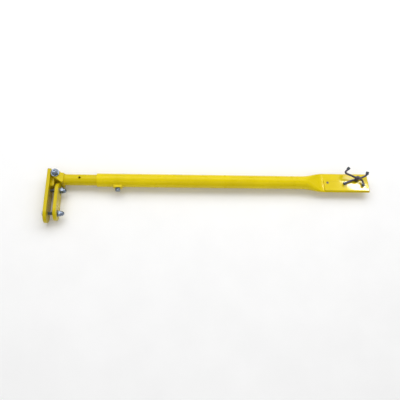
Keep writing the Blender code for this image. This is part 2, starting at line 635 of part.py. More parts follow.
def main():
    clear_scene()
    paint = make_material("yellow_paint", (0.72, 0.56, 0.01), 0.32, 0.0)
    zinc = make_material("zinc_plate", (0.55, 0.60, 0.68), 0.35, 1.0)
    steel = make_material("dark_steel", (0.06, 0.06, 0.08), 0.4, 0.8)
    rubber = make_material("grey_sleeve", (0.11, 0.13, 0.15), 0.55, 0.0)
    nylon = make_material("nylon", (0.78, 0.77, 0.72), 0.5, 0.0)
    brass = make_material("brass", (0.60, 0.42, 0.14), 0.3, 1.0)

    root = add_empty("tow_bar", (0, 0, 0))
    bar = add_empty("bar_axis", (0, 0, 0), root)
    arm = add_empty("arm_axis", (0, 0, 0), root)
    guide = add_empty("guide_axis", (SLIDER_END_X, 0, 0), root)
    head = add_empty("head_axis", PIVOT, root)
    jaw = add_empty("jaw_axis", (MOVING_JAW_X, CLAMP_UPPER_Y, 0), root)
    nut_upper = add_empty("nut_upper_axis", (MOVING_JAW_X, CLAMP_UPPER_Y, 0), root)
    nut_lower = add_empty("nut_lower_axis", (MOVING_JAW_X, CLAMP_LOWER_Y, 0), root)
    pad = add_empty("pad_axis", (LOCK_X, 0, 0), root)
    screw = add_empty("screw_axis", (LOCK_X, 0, 0), root)
    hook_a = add_empty("hook_a_axis", HOOK_STUD, root)
    hook_b = add_empty("hook_b_axis", HOOK_STUD, root)

    make_outer_tube(bar, paint)
    make_doubler(bar, paint, zinc)
    make_lock(bar, pad, screw, paint, zinc, brass)
    make_slider(arm, guide, paint, nylon)
    make_fork(arm, paint, zinc)
    make_knuckle(head, paint, brass)
    make_jaws(head, jaw, paint)
    make_clamp("upper", CLAMP_UPPER_Y, head, jaw, nut_upper, zinc, has_head=False)
    make_clamp("lower", CLAMP_LOWER_Y, head, jaw, nut_lower, zinc, has_head=True)
    make_hooks(bar, hook_a, hook_b, zinc, steel, rubber)
    stand_on_ground(root)


main()
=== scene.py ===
"""Finished look of the aircraft tow bar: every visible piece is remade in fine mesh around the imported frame.

Lengths are millimetres in the bar's own axes: X along the bar from the pivot bolt to the hitch end,
Y away from the jaws, Z up, with the tubes' axis at Y = Z = 0.
"""
import math
import random

import bmesh
import bpy
from mathutils import Matrix, Vector


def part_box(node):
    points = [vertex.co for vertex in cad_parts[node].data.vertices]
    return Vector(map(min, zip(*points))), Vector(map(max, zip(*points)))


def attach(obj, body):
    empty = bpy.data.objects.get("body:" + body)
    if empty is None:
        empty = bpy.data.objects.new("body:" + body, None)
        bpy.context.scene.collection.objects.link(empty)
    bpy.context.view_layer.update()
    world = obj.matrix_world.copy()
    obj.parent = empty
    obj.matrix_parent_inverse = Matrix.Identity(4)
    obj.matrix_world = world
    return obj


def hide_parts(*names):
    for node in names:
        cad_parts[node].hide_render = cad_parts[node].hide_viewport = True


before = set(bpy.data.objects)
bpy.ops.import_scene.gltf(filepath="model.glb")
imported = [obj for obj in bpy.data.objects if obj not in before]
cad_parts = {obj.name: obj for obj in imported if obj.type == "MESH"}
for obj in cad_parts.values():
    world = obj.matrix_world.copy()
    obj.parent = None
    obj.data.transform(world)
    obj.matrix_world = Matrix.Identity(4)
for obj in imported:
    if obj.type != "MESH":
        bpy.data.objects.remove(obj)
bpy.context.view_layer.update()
MM = 0.001


def middle(node):
    low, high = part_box(node)
    return (low + high) / 2


BAR = Vector((middle("pivot_washer").x, middle("inner_tube").y, middle("inner_tube").z))
TO_WORLD = Matrix.Translation(BAR) @ Matrix.Scale(MM, 4)


def span(node):
    """Lowest and highest corner of a CAD node, in millimetres in the bar's axes."""
    low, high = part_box(node)
    return (low - BAR) / MM, (high - BAR) / MM


# ---------------------------------------------------------------- materials

class Shader:
    """A node material built up in a few calls."""

    def __init__(self, name):
        self.material = bpy.data.materials.new(name)
        self.material.use_nodes = True
        self.nodes = self.material.node_tree.nodes
        self.links = self.material.node_tree.links
        self.surface = self.nodes["Principled BSDF"]
        self.place = self.nodes.new("ShaderNodeTexCoord").outputs["Object"]

    def link(self, source, target):
        self.links.new(source, target)

    def stretched(self, scale):
        node = self.nodes.new("ShaderNodeMapping")
        node.inputs["Scale"].default_value = scale
        self.link(self.place, node.inputs["Vector"])
        return node.outputs["Vector"]

    def noise(self, scale, detail=3.0, roughness=0.5, vector=None):
        node = self.nodes.new("ShaderNodeTexNoise")
        node.inputs["Scale"].default_value = scale
        node.inputs["Detail"].default_value = detail
        node.inputs["Roughness"].default_value = roughness
        self.link(vector or self.place, node.inputs["Vector"])
        return node.outputs["Fac"]

    def ramp(self, source, low, high, out_low=0.0, out_high=1.0):
        node = self.nodes.new("ShaderNodeMapRange")
        limits = {"From Min": low, "From Max": high, "To Min": out_low, "To Max": out_high}
        for label, value in limits.items():
            node.inputs[label].default_value = value
        self.link(source, node.inputs["Value"])
        return node.outputs["Result"]

    def math(self, operation, a, b):
        node = self.nodes.new("ShaderNodeMath")
        node.operation = operation
        for socket, value in zip(node.inputs, (a, b)):
            if isinstance(value, (int, float)):
                socket.default_value = value
            else:
                self.link(value, socket)
        return node.outputs["Value"]

    def mix(self, share, colour_a, colour_b):
        node = self.nodes.new("ShaderNodeMix")
        node.data_type = "RGBA"
        self.link(share, node.inputs["Factor"])
        for label, value in (("A", colour_a), ("B", colour_b)):
            socket = [s for s in node.inputs if s.name == label and s.type == "RGBA"][0]
            if isinstance(value, tuple):
                socket.default_value = (*value, 1.0)
            else:
                self.link(value, socket)
        return [s for s in node.outputs if s.type == "RGBA"][0]

    def wear(self):
        node = self.nodes.new("ShaderNodeAttribute")
        node.attribute_name = "wear"
        return node.outputs["Fac"]

    def bump(self, layers):
        """Stack bumps from (height, strength, distance in mm) layers."""
        normal = None
        for height, strength, distance in layers:
            node = self.nodes.new("ShaderNodeBump")
            node.inputs["Strength"].default_value = strength
            node.inputs["Distance"].default_value = distance * MM
            self.link(height, node.inputs["Height"])
            if normal is not None:
                self.link(normal, node.inputs["Normal"])
            normal = node.outputs["Normal"]
        self.link(normal, self.surface.inputs["Normal"])

    def set(self, **values):
        for label, value in values.items():
            self.surface.inputs[label.replace("_", " ")].default_value = value


def powder_coat(name, coat, coat_roughness, painted_shade=1.0):
    """Gloss yellow powder coat: orange peel, faint dust and tone changes, chips on the sharp edges; the shade
    factor darkens all its colours as painted shade.
    """
    s = Shader(name)
    tone = s.ramp(s.noise(9.0, 4.0), 0.35, 0.68)
    # The shade factor scales every colour down: painted shade for darker copies of this coat.
    deep = tuple(c * painted_shade for c in (0.68, 0.525, 0.001))
    light = tuple(c * painted_shade for c in (0.76, 0.60, 0.002))
    colour = s.mix(tone, deep, light)
    dust = s.ramp(s.noise(55.0, 6.0, 0.65), 0.56, 0.74, 0.0, 0.3)
    colour = s.mix(dust, colour, (0.56 * painted_shade, 0.40 * painted_shade, 0.015))
    speck = s.ramp(s.noise(420.0, 2.0), 0.70, 0.76)
    colour = s.mix(s.math("MULTIPLY", speck, 0.5), colour, (0.30, 0.22, 0.03))
    patchy = s.ramp(s.noise(230.0, 5.0, 0.7), 0.60, 0.68)
    chip = s.math("MULTIPLY", s.ramp(s.wear(), 0.45, 0.8), patchy)
    colour = s.mix(chip, colour, (0.20, 0.17, 0.13))
    s.link(colour, s.surface.inputs["Base Color"])
    gloss = s.ramp(s.noise(30.0, 4.0), 0.3, 0.7, 0.24, 0.36)
    s.link(s.math("MAXIMUM", gloss, s.math("MULTIPLY", chip, 0.6)), s.surface.inputs["Roughness"])
    s.link(s.math("MULTIPLY", chip, 0.75), s.surface.inputs["Metallic"])
    s.set(Coat_Weight=coat, Coat_Roughness=coat_roughness, Specular_IOR_Level=0.30,
          Specular_Tint=(1.0, 0.80, 0.18, 1.0))
    peel = s.noise(520.0, 2.0)
    s.bump([(peel, 0.18, 0.25), (s.math("MULTIPLY", chip, -1.0), 0.5, 0.15)])
    return s.material


def zinc_plate(name, colour, roughness):
    """Zinc plated steel: cool metal with fine draw marks and a faint mottled passivation."""
    s = Shader(name)
    mottled = s.ramp(s.noise(160.0, 5.0, 0.6), 0.35, 0.7)
    cool = tuple(c * 1.22 for c in colour)
    tint = s.mix(mottled, colour, (cool[0] * 0.93, cool[1], cool[2] * 1.06))
    stain = s.ramp(s.noise(70.0, 5.0, 0.6), 0.62, 0.75, 0.0, 0.4)
    s.link(s.mix(stain, tint, (0.26, 0.24, 0.22)), s.surface.inputs["Base Color"])
    draw = s.noise(1.0, 3.0, 0.6, s.stretched((2600.0, 260.0, 260.0)))
    s.link(s.ramp(draw, 0.3, 0.7, roughness - 0.07, roughness + 0.12), s.surface.inputs["Roughness"])
    s.set(Metallic=1.0)
    s.bump([(draw, 0.10, 0.05), (s.noise(900.0, 2.0), 0.12, 0.05)])
    return s.material


def oiled_steel():
    """Dark heat-treated steel rod with brown and violet temper tones and light scuffs."""
    s = Shader("dark_steel_rod")
    tone = s.ramp(s.noise(45.0, 4.0), 0.35, 0.65)
    colour = s.mix(tone, (0.055, 0.050, 0.070), (0.10, 0.085, 0.13))
    rust = s.ramp(s.noise(110.0, 6.0, 0.7), 0.58, 0.72, 0.0, 0.6)
    colour = s.mix(rust, colour, (0.12, 0.060, 0.030))
    s.link(colour, s.surface.inputs["Base Color"])
    s.link(s.ramp(s.noise(300.0, 3.0), 0.3, 0.7, 0.26, 0.48), s.surface.inputs["Roughness"])
    s.set(Metallic=0.85, Coat_Weight=0.25, Coat_Roughness=0.2)
    s.bump([(s.noise(700.0, 4.0, 0.6), 0.25, 0.12)])
    return s.material


def plastic(name, colour, roughness, fine=800.0):
    """Moulded plastic with a fine grain, slight tone change and rubbed ends."""
    s = Shader(name)
    tone = s.ramp(s.noise(80.0, 3.0), 0.3, 0.7)
    light = tuple(min(c * 1.35, 1.0) for c in colour)
    tinted = s.mix(tone, colour, light)
    rubbed = s.math("MULTIPLY", s.ramp(s.wear(), 0.3, 0.8), s.ramp(s.noise(260.0, 4.0), 0.4, 0.6))
    s.link(s.mix(rubbed, tinted, tuple(min(c * 1.9, 1.0) for c in colour)), s.surface.inputs["Base Color"])
    grain = s.ramp(s.noise(200.0, 3.0), 0.3, 0.7, roughness - 0.08, roughness + 0.08)
    s.link(grain, s.surface.inputs["Roughness"])
    s.bump([(s.noise(fine, 2.0), 0.2, 0.08)])
    return s.material


def turned_brass():
    s = Shader("turned_brass")
    tone = s.ramp(s.noise(90.0, 4.0), 0.3, 0.7)
    s.link(s.mix(tone, (0.60, 0.41, 0.13), (0.74, 0.55, 0.24)), s.surface.inputs["Base Color"])
    lines = s.noise(1.0, 2.0, 0.5, s.stretched((3000.0, 300.0, 300.0)))
    s.link(s.ramp(lines, 0.3, 0.7, 0.18, 0.34), s.surface.inputs["Roughness"])
    s.set(Metallic=1.0)
    s.bump([(lines, 0.1, 0.05)])
    return s.material


PAINT = powder_coat("yellow_powder_coat", 0.12, 0.10)
# Darker copies of the same yellow coat: painted shade on the sliding arm and fork (0.87) and on the knuckle
# and jaws (0.79).
SLIDER_SHADED_PAINT = powder_coat("yellow_slider_coat_painted_shade", 0.12, 0.10, 0.87)
HEAD_SHADED_PAINT = powder_coat("yellow_head_coat_painted_shade", 0.12, 0.10, 0.79)
GLOSS_PAINT = powder_coat("yellow_gloss_coat", 0.45, 0.06)
ZINC = zinc_plate("zinc_plate", (0.19, 0.22, 0.275), 0.21)
DULL_ZINC = zinc_plate("weathered_zinc", (0.15, 0.125, 0.105), 0.42)
STEEL = oiled_steel()
SLEEVE = plastic("grey_dipped_sleeve", (0.045, 0.055, 0.070), 0.38)
NYLON = plastic("natural_nylon", (0.62, 0.61, 0.55), 0.45)
BLUE_NYLON = plastic("blue_nylon_insert", (0.05, 0.10, 0.22), 0.45)
BRASS = turned_brass()
HOLE = plastic("bore_shadow_coat", (0.02, 0.018, 0.012), 0.6)


# ---------------------------------------------------------------- mesh builders

def mark_wear(mesh_bm):
    """Store how sharply the surface turns at each vertex, from 0 on flats to 1 on edges."""
    layer = mesh_bm.verts.layers.float.new("wear")
    mesh_bm.normal_update()
    for edge in mesh_bm.edges:
        if len(edge.link_faces) == 2:
            turn = min(edge.calc_face_angle(0.0) / math.radians(35), 1.0)
            for vertex in edge.verts:
                vertex[layer] = max(vertex[layer], turn)


def finish_piece(name, mesh_bm, material, body, replaces=(), sharp=38):
    """Make the object from a bmesh in millimetres, tie it to its body and hide the nodes it stands for."""
    bmesh.ops.remove_doubles(mesh_bm, verts=mesh_bm.verts, dist=0.0005)
    bmesh.ops.recalc_face_normals(mesh_bm, faces=mesh_bm.faces)
    mark_wear(mesh_bm)
    bmesh.ops.transform(mesh_bm, matrix=TO_WORLD, verts=mesh_bm.verts)
    mesh = bpy.data.meshes.new(name)
    mesh_bm.to_mesh(mesh)
    mesh_bm.free()
    mesh.shade_smooth()
    mesh.set_sharp_from_angle(angle=math.radians(sharp))
    mesh.materials.append(material)
    item = bpy.data.objects.new(name, mesh)
    bpy.context.scene.collection.objects.link(item)
    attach(item, body)
    if replaces:
        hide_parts(*replaces)
    return item


def bridge(mesh_bm, ring_a, ring_b):
    count = len(ring_a)
    for i in range(count):
        j = (i + 1) % count
        mesh_bm.faces.new((ring_a[i], ring_a[j], ring_b[j], ring_b[i]))


def loft(rings, ends="cap"):
    """Skin over rings of points: capped ends, or the last ring joined back to the first."""
    mesh_bm = bmesh.new()
    rows = [[mesh_bm.verts.new(point) for point in ring] for ring in rings]
    for row_a, row_b in zip(rows, rows[1:]):
        bridge(mesh_bm, row_a, row_b)
    if ends == "loop":
        bridge(mesh_bm, rows[-1], rows[0])
    elif ends == "cap":
        mesh_bm.faces.new(rows[0])
        mesh_bm.faces.new(rows[-1])
    return mesh_bm


def circle(radius, height, sides):
    return [(radius * math.cos(2 * math.pi * i / sides), radius * math.sin(2 * math.pi * i / sides), height)
            for i in range(sides)]


def turned(profile, sides=64, hollow=False):
    return loft([circle(radius, height, sides) for radius, height in profile], "loop" if hollow else "cap")


def corner_arc(centre, radius, start, end, steps=5):
    """Points on an arc in the (radius, height) plane, angles in degrees."""
    return [(centre[0] + radius * math.cos(math.radians(start + (end - start) * i / steps)),
             centre[1] + radius * math.sin(math.radians(start + (end - start) * i / steps)))
            for i in range(steps + 1)]


def ring_body(inner, outer, low, high, edge=0.5, sides=64):
    """Washer, bush or ring with rounded edges."""
    profile = [(inner + edge, low)]
    profile += corner_arc((outer - edge, low + edge), edge, -90, 0, 3)
    profile += corner_arc((outer - edge, high - edge), edge, 0, 90, 3)
    profile += [(inner + edge, high), (inner, high - edge), (inner, low + edge)]
    return turned(profile, sides, hollow=True)


def hexagon(across, low, high, bore=None, top_dish=0.0, sides=96):
    """Hexagonal head or nut whose corners are turned off by a cone at both ends."""
    def wall(angle, depth):
        within = (angle + math.pi / 6) % (math.pi / 3) - math.pi / 6
        return min(across / 2 / math.cos(within), across / 2 * 0.955 + depth * 1.75)

    depths = [0.0, 0.2, 0.4, 0.6, 0.8, 1.0, 1.25]
    levels = [(low + d, d) for d in depths] + [(high - d, d) for d in depths[::-1]]
    rings = []
    for height, depth in levels:
        ring = []
        for i in range(sides):
            angle = 2 * math.pi * i / sides
            radius = wall(angle, depth)
            ring.append((radius * math.cos(angle), radius * math.sin(angle), height))
        rings.append(ring)
    if bore is None:
        if top_dish:
            rings.append(circle(across * 0.34, high, sides))
            rings.append(circle(across * 0.31, high - top_dish, sides))
        return loft(rings)
    rings += [circle(bore + 0.9, high, sides), circle(bore, high - 0.7, sides),
              circle(bore, low + 0.7, sides), circle(bore + 0.9, low, sides)]
    return loft(rings, "loop")


def threaded(radius, low, high, pitch=1.75, depth=0.62, sides=40):
    """Shaft with a real helical thread that fades into a chamfer at both ends."""
    step = pitch / 6
    count = int((high - low) / step)
    rings = []
    for k in range(count + 1):
        height = low + (high - low) * k / count
        fade = min((height - low) / 1.2, (high - height) / 1.2, 1.0)
        ring = []
        for i in range(sides):
            turn = i / sides
            phase = (height / pitch - turn) % 1.0
            groove = abs(phase - 0.5) * 2
            crest = radius - depth * (1 - min(groove * 1.25, 1.0)) - (1 - fade) * 0.6
            ring.append((crest * math.cos(2 * math.pi * turn), crest * math.sin(2 * math.pi * turn), height))
        rings.append(ring)
    return loft(rings)


def offset(points, amount):
    """Move each corner of a closed anticlockwise outline inwards by amount."""
    moved = []
    count = len(points)
    for i in range(count):
        before = Vector(points[i]) - Vector(points[i - 1])
        after = Vector(points[(i + 1) % count]) - Vector(points[i])
        normal_a = Vector((-before.y, before.x)).normalized()
        normal_b = Vector((-after.y, after.x)).normalized()
        joint = (normal_a + normal_b).normalized()
        moved.append(tuple(Vector(points[i]) + joint * amount / max(joint.dot(normal_a), 0.4)))
    return moved


def plate(outline, holes, low, high, edge=0.8, margin=1.6):
    """Flat plate with rounded edges; outline runs anticlockwise and each hole is (x, y, radius)."""
    steps = 3
    levels = [(0.0, high - edge)]
    for k in range(1, steps + 1):
        angle = math.pi / 2 * k / steps
        levels.append((edge * (1 - math.cos(angle)), high - edge + edge * math.sin(angle)))
    levels.append((edge + margin, high))
    levels = [(inset, low + high - height) for inset, height in levels[::-1]] + levels
    mesh_bm = bmesh.new()
    tops, bottoms = [], []
    sides = 40
    borders = [(outline, 1)]
    for x, y, radius in holes:
        turns = [2 * math.pi * i / sides for i in range(sides)]
        border = [(x + radius * math.cos(turn), y + radius * math.sin(turn)) for turn in turns]
        borders.append((border, -1))
    for border, sign in borders:
        scale = 1.0 if sign > 0 else 0.45
        rows = []
        for inset, height in levels:
            flat = offset(border, sign * inset * scale)
            rows.append([mesh_bm.verts.new((x, y, height)) for x, y in flat])
        for row_a, row_b in zip(rows, rows[1:]):
            bridge(mesh_bm, row_a, row_b)
        bottoms.append(rows[0])
        tops.append(rows[-1])
    for group in (bottoms, tops):
        edges = []
        for row in group:
            edges += [mesh_bm.edges.get((row[i], row[(i + 1) % len(row)])) for i in range(len(row))]
        bmesh.ops.triangle_fill(mesh_bm, edges=edges, use_beauty=True)
    return mesh_bm


def arc(centre, radius, start, end, steps):
    return [(centre[0] + radius * math.cos(math.radians(start + (end - start) * i / steps)),
             centre[1] + radius * math.sin(math.radians(start + (end - start) * i / steps)))
            for i in range(steps + 1)]


def smooth_path(points, steps):
    """Points on a Catmull-Rom curve through the given points."""
    spots = [Vector(p) for p in points]
    spots = [spots[0] * 2 - spots[1], *spots, spots[-1] * 2 - spots[-2]]
    path = []
    for a, b, c, d in zip(spots, spots[1:], spots[2:], spots[3:]):
        for i in range(steps):
            t = i / steps
            path.append(0.5 * ((2 * b) + (c - a) * t + (2 * a - 5 * b + 4 * c - d) * t * t
                               + (3 * b - a - 3 * c + d) * t ** 3))
    path.append(spots[-2])
    return path


def swept(path, radii, sides=24, loop=False):
    """Round bar along a path with a radius at each point."""
    ahead = (path[1] - path[0]).normalized()
    across = ahead.cross(Vector((0, 0, 1)))
    across = across.normalized() if across.length > 0.01 else ahead.cross(Vector((0, 1, 0))).normalized()
    rings = []
    count = len(path)
    for i, spot in enumerate(path):
        behind = path[(i - 1) % count] if loop else path[max(i - 1, 0)]
        beyond = path[(i + 1) % count] if loop else path[min(i + 1, count - 1)]
        ahead = (beyond - behind).normalized()
        across = (across - ahead * across.dot(ahead)).normalized()
        up = ahead.cross(across)
        rings.append([spot + (across * math.cos(2 * math.pi * k / sides)
                              + up * math.sin(2 * math.pi * k / sides)) * radii[i] for k in range(sides)])
    return loft(rings, "loop" if loop else "cap")


def weld(name, path, size, body, seed, loop=False, spacing=1.6, material=PAINT):
    """Painted weld bead: overlapping ripples along a path."""
    jitter = random.Random(seed)
    fine = []
    spots = list(path) + ([path[0]] if loop else [])
    for a, b in zip(spots, spots[1:]):
        steps = max(int((b - a).length / 0.4), 1)
        fine += [a.lerp(b, i / steps) for i in range(steps)]
    if not loop:
        fine.append(spots[-1])
    travelled = 0.0
    radii = []
    wander = [jitter.uniform(0.92, 1.08) for _ in range(len(fine) // 4 + 2)]
    for i, spot in enumerate(fine):
        travelled += (spot - fine[i - 1]).length if i else 0.0
        ripple = abs(math.sin(math.pi * travelled / spacing))
        taper = 1.0 if loop else min(1.0, 0.45 + min(i, len(fine) - 1 - i) * 0.12)
        radii.append(size * (0.84 + 0.20 * ripple) * wander[i // 4] * taper)
    return finish_piece(name, swept(fine, radii, 14, loop), material, body, sharp=80)


def turn_to(mesh_bm, axis, spot=(0.0, 0.0, 0.0)):
    turn = Vector((0, 0, 1)).rotation_difference(Vector(axis)).to_matrix().to_4x4()
    bmesh.ops.transform(mesh_bm, matrix=Matrix.Translation(Vector(spot)) @ turn, verts=mesh_bm.verts)
    return mesh_bm


def combine(*parts):
    """Put closed shells that pass into one another into one bmesh."""
    whole = bmesh.new()
    for mesh_bm in parts:
        mesh = bpy.data.meshes.new("part")
        mesh_bm.to_mesh(mesh)
        mesh_bm.free()
        whole.from_mesh(mesh)
        bpy.data.meshes.remove(mesh)
    return whole


def boolean(target_bm, tool_bm, operation="DIFFERENCE"):
    """Exact boolean of two closed bmeshes, in millimetres."""
    objects = []
    for label, mesh_bm in (("target", target_bm), ("tool", tool_bm)):
        bmesh.ops.recalc_face_normals(mesh_bm, faces=mesh_bm.faces)
        mesh = bpy.data.meshes.new(label)
        mesh_bm.to_mesh(mesh)
        mesh_bm.free()
        item = bpy.data.objects.new(label, mesh)
        bpy.context.scene.collection.objects.link(item)
        objects.append(item)
    target, tool = objects
    step = target.modifiers.new("cut", "BOOLEAN")
    step.operation = operation
    step.solver = "EXACT"
    step.object = tool
    graph = bpy.context.evaluated_depsgraph_get()
    result = bmesh.new()
    result.from_mesh(target.evaluated_get(graph).to_mesh())
    for item in objects:
        mesh = item.data
        bpy.data.objects.remove(item)
        bpy.data.meshes.remove(mesh)
    return result


# ---------------------------------------------------------------- outer tube

SIDES = 128
tube_low, tube_high = span("outer_tube")
slider_low, slider_high = span("inner_tube")
TUBE_R = 25.0
TUBE_WALL = 3.5
SLIDER_R = (slider_high.z - slider_low.z) / 2
MOUTH_X = tube_low.x
FLAT_END_X = tube_high.x
FLAT_HALF_WIDTH = (tube_high.y - tube_low.y) / 2
FLAT_HALF = 4.0
FLARE_START_X = MOUTH_X + 780.0
FLAT_START_X = MOUTH_X + 865.0


def press(station):
    share = min(max((station - FLARE_START_X) / (FLAT_START_X - FLARE_START_X), 0.0), 1.0)
    eased = share * share * (3 - 2 * share)
    return TUBE_R + (FLAT_HALF - TUBE_R) * eased


def tube_section(station, inset):
    """Two half circles joined by flats that widen as the tube is pressed; the flats dish in slightly."""
    half_height = press(station)
    straight = (FLAT_HALF_WIDTH - FLAT_HALF) * (TUBE_R - half_height) / (TUBE_R - FLAT_HALF)
    radius = max(half_height - inset, 0.2)
    share = min(max((station - FLARE_START_X) / (FLAT_START_X - FLARE_START_X), 0.0), 1.0)
    dish = 1.0 * math.sin(math.pi * share) ** 2
    half = SIDES // 2
    flats = 24
    ring = []
    for side in (1, -1):
        for i in range(half - flats):
            angle = math.pi * (i + 0.5) / (half - flats) - math.pi / 2
            across = side * (straight + radius * math.cos(angle))
            ring.append((station, across, side * radius * math.sin(angle)))
        for i in range(flats):
            across = straight * (1 - 2 * (i + 0.5) / flats)
            sink = dish * (1 - (across / max(straight, 0.01)) ** 2) if straight > 1 else 0.0
            ring.append((station, side * across, side * (radius - sink)))
    return ring


def build_outer_tube():
    lip = 0.8
    outside = [(MOUTH_X + lip * (1 - math.cos(a)), lip * (1 - math.sin(a)))
               for a in (0, math.pi / 6, math.pi / 3, math.pi / 2)]
    outside += [(MOUTH_X + step, 0.0) for step in (4, 60, 200, 400, 600, 740)]
    outside += [(FLARE_START_X + (FLAT_START_X - FLARE_START_X) * i / 36, 0.0) for i in range(37)]
    outside += [(FLAT_START_X + (FLAT_END_X - 2 - FLAT_START_X) * i / 12, 0.0) for i in range(1, 13)]
    outside += [(FLAT_END_X - 0.8, 0.0), (FLAT_END_X - 0.25, 0.2), (FLAT_END_X, 0.7)]
    inside = [(MOUTH_X + x, TUBE_WALL) for x in (700, 400, 150, 10, 1.0)] + [(MOUTH_X + 0.2, TUBE_WALL - 0.5)]
    rings = [tube_section(x, inset) for x, inset in inside + outside]
    return loft(rings)


finish_piece("tube_outer_fine", build_outer_tube(), PAINT, "bar", ["outer_tube"], sharp=40)

# Seam where the two tube walls meet in the pressed end
seam = plate([(-0.3, -33.5), (0.3, -33.5), (0.3, 33.5), (-0.3, 33.5)], [], 0.0, 0.12, edge=0.04, margin=0.05)
finish_piece("pressed_end_seam", turn_to(seam, (1, 0, 0), (FLAT_END_X - 0.05, 0, 0)), HOLE, "bar")


# ---------------------------------------------------------------- doubler plate and rivet

plate_low, plate_high = span("doubler_plate")
rivet_low, rivet_high = span("doubler_rivet")
stud_low, stud_high = span("hook_stud")
RIVET = ((rivet_low.x + rivet_high.x) / 2, (rivet_low.y + rivet_high.y) / 2)
STUD = ((stud_low.x + stud_high.x) / 2, (stud_low.y + stud_high.y) / 2)


def doubler_outline(corner=3.0):
    x0, x1, y0, y1 = plate_low.x, plate_high.x, plate_low.y, plate_high.y
    reach = 10.0
    rise = math.sqrt(reach ** 2 - (STUD[1] - y1) ** 2)
    start = math.degrees(math.atan2(y1 - STUD[1], rise))
    bite = arc(STUD, reach, start, -180 - start, 20)
    outline = arc((x1 - corner, y0 + corner), corner, -90, 0, 5)
    outline += arc((x1 - corner, y1 - corner), corner, 0, 90, 5)
    outline += bite
    outline += arc((x0 + corner, y1 - corner), corner, 90, 180, 5)
    outline += arc((x0 + corner, y0 + corner), corner, 180, 270, 5)
    return outline


finish_piece("doubler_fine", plate(doubler_outline(), [(*RIVET, 4.9)], plate_low.z - 0.2, plate_high.z, 0.7),
             GLOSS_PAINT, "bar", ["doubler_plate"])
weld_z = plate_low.z - 0.1
weld("doubler_weld_front", [Vector((plate_low.x - 0.2, y, weld_z)) for y in (-30.0, -14.0)], 1.5, "bar", 3)
weld("doubler_weld_side", [Vector((x, plate_high.y + 0.2, weld_z)) for x in (1044.0, 1086.0)], 1.5, "bar", 4)
weld("doubler_weld_far", [Vector((x, plate_high.y + 0.2, weld_z)) for x in (1162.0, 1186.0)], 1.5, "bar", 5)

head_r = (rivet_high.x - rivet_low.x) / 2
rivet_profile = [(1.0, rivet_low.z), (head_r - 0.3, rivet_low.z), (head_r, rivet_low.z + 0.3), (3.0, -2.0),
                 (3.0, plate_high.z - 2.0), (head_r, rivet_high.z - 0.3), (head_r - 0.3, rivet_high.z),
                 (1.4, rivet_high.z - 0.15), (0.6, rivet_high.z - 0.5)]
finish_piece("rivet_fine", turn_to(turned(rivet_profile, 40), (0, 0, 1), (*RIVET, 0)),
             DULL_ZINC, "bar", ["doubler_rivet"])


# ---------------------------------------------------------------- lock screw and boss

boss_low, boss_high = span("lock_boss")
screw_low, screw_high = span("lock_screw")
LOCK_X = (boss_low.x + boss_high.x) / 2
BOSS_TOP = boss_low.y
BOSS_HALF = (boss_high.x - boss_low.x) / 2
BOSS_HEIGHT = (boss_high.z - boss_low.z) / 2


def build_boss():
    rings = []
    for z in [-BOSS_HEIGHT + BOSS_HEIGHT * 2 * k / 16 for k in range(17)]:
        pinch = 1.0 - 0.10 * (abs(z) / BOSS_HEIGHT) ** 6
        base = -math.sqrt(TUBE_R ** 2 - z * z) + 0.4
        points = [(LOCK_X - BOSS_HALF * pinch, base), (LOCK_X - BOSS_HALF * pinch, base - 0.8)]
        points += [(LOCK_X - 13.5 * pinch, BOSS_TOP + 1.2), (LOCK_X - 12 * pinch, BOSS_TOP + 0.25),
                   (LOCK_X - 10.5 * pinch, BOSS_TOP)]
        points += [(LOCK_X + 10.5 * pinch, BOSS_TOP), (LOCK_X + 12 * pinch, BOSS_TOP + 0.25),
                   (LOCK_X + 13.5 * pinch, BOSS_TOP + 1.2)]
        points += [(LOCK_X + BOSS_HALF * pinch, base - 0.8), (LOCK_X + BOSS_HALF * pinch, base)]
        rings.append([(x, y, z) for x, y in points])
    return loft(rings)


finish_piece("lock_boss_fine", build_boss(), PAINT, "bar", ["lock_boss"], sharp=30)
boss_path = []
for k in range(48):
    angle = 2 * math.pi * k / 48
    x = LOCK_X + (BOSS_HALF + 0.2) * max(min(math.cos(angle) * 1.25, 1.0), -1.0)
    z = (BOSS_HEIGHT + 0.2) * max(min(math.sin(angle) * 1.4, 1.0), -1.0)
    boss_path.append(Vector((x, -math.sqrt(TUBE_R ** 2 - z * z), z)))
weld("lock_boss_weld", boss_path, 1.5, "bar", 11, loop=True)

head_start = -BOSS_TOP + 2.0
head_end = -screw_low.y
screw = combine(threaded(6.0, -screw_high.y + 0.1, head_start + 0.3, depth=0.55),
                hexagon(screw_high.z - screw_low.z, head_start, head_end, top_dish=0.5))
finish_piece("lock_screw_fine", turn_to(screw, (0, -1, 0), (LOCK_X, 0, 0)), ZINC, "screw",
             ["lock_screw"], sharp=28)


# ---------------------------------------------------------------- sliding tube, fork and pivot

PIN_X = 86.5
PIN_R = 4.5


def build_slider():
    start = slider_low.x
    edge = 0.6
    profile = [(SLIDER_R - 3 + 0.3, start), (SLIDER_R - edge, start), (SLIDER_R, start + edge)]
    profile += [(SLIDER_R, start + x) for x in (20, 35, 48, 52.5, 56.5, 60, 72, 100, 160, 300, 420)]
    profile += [(SLIDER_R, slider_high.x - edge), (SLIDER_R - edge, slider_high.x)]
    profile += [(SLIDER_R - 3, slider_high.x)]
    profile += [(SLIDER_R - 3, start + x) for x in (420, 300, 160, 100, 72, 60, 56.5, 52.5, 48, 35, 20)]
    tube = turn_to(turned(profile, SIDES, hollow=True), (1, 0, 0))
    hole = turned([(PIN_R + 0.5, -SLIDER_R - 2), (PIN_R, -SLIDER_R + 0.3), (PIN_R, SLIDER_R - 0.3),
                   (PIN_R + 0.5, SLIDER_R + 2)], 48)
    return boolean(tube, turn_to(hole, (0, 0, 1), (PIN_X, 0, 0)))


finish_piece("tube_slider_fine", build_slider(), SLIDER_SHADED_PAINT, "arm", ["inner_tube"], sharp=35)

